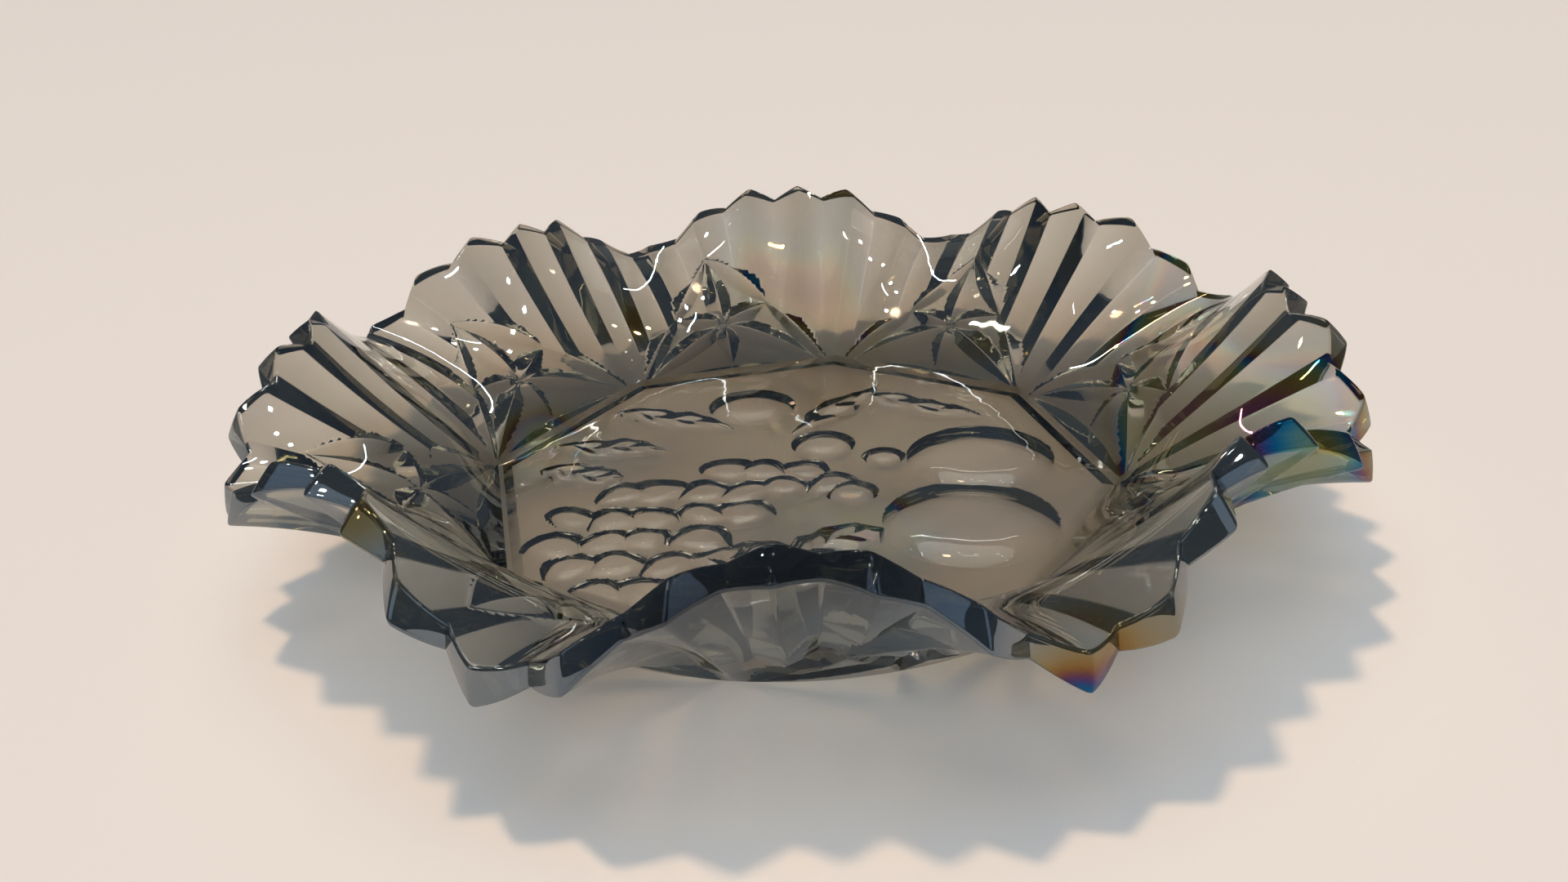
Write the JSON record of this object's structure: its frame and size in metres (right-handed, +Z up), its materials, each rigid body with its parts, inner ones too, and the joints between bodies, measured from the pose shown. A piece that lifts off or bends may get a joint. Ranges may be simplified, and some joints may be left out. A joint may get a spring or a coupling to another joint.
{
  "type": "pressed glass bowl",
  "caption": "Smoke-grey iridescent pressed glass bowl with an octagonal fruit-relief floor, star panels, fluted fans and a crimped, toothed rim.",
  "frame": {"origin": "centre of the resting face, on the surface that the bowl stands on", "axes": "+Z up along the bowl's axis; a flat side of the octagonal floor faces -Y and another faces +X"},
  "size_m": [0.2758, 0.2758, 0.0527],
  "materials": {
    "smoke_glass": "fire-polished smoke-grey pressed glass with a thin silvery-blue iridescent film"
  },
  "bodies": {
    "root": {"floor_plate": "smoke_glass", "star_panel_1": "smoke_glass", "star_panel_2": "smoke_glass", "star_panel_3": "smoke_glass", "star_panel_4": "smoke_glass", "star_panel_5": "smoke_glass", "star_panel_6": "smoke_glass", "star_panel_7": "smoke_glass", "star_panel_8": "smoke_glass", "flute_fan_1": "smoke_glass", "flute_fan_2": "smoke_glass", "flute_fan_3": "smoke_glass", "flute_fan_4": "smoke_glass", "flute_fan_5": "smoke_glass", "flute_fan_6": "smoke_glass", "flute_fan_7": "smoke_glass", "flute_fan_8": "smoke_glass"}
  },
  "joints": []
}
